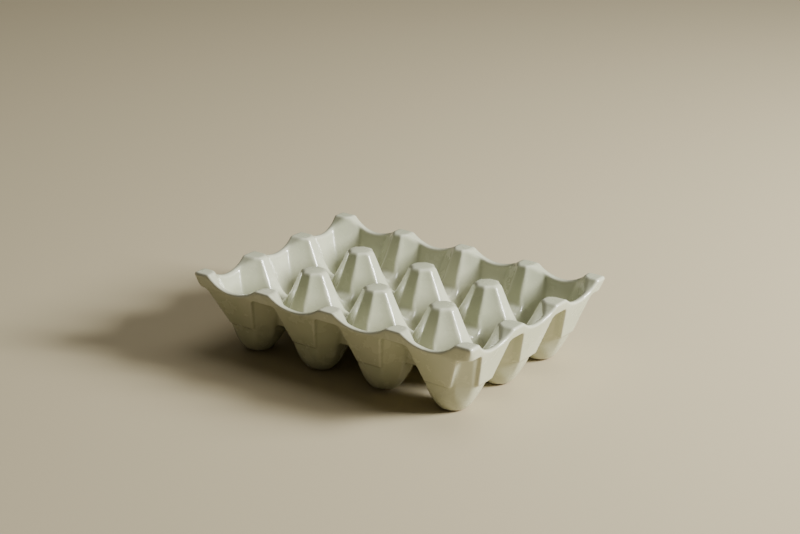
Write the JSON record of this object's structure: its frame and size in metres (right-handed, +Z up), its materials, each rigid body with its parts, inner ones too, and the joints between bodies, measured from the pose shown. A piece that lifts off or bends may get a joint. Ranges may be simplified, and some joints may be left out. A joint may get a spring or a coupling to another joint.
{
  "type": "egg holder tray",
  "caption": "Rectangular glazed stoneware tray that holds eggs upright in a grid of tapered octagonal cups between blunt pegs, with a wavy rim and free-standing feet.",
  "frame": {"origin": "on the surface the feet stand on, under the middle of the tray", "axes": "+X along the long side (the side with more cups), +Y along the short side, +Z up"},
  "size_m": [0.209, 0.1558, 0.0532],
  "materials": {
    "stoneware": "dry, unglazed fired clay, slightly rough",
    "celadon_glaze": "smooth satin-gloss pale grey-green glaze, a little thinner on edges and deeper in hollows"
  },
  "bodies": {
    "root": {"stoneware_body": "stoneware", "glaze_coat": "celadon_glaze"}
  },
  "joints": []
}
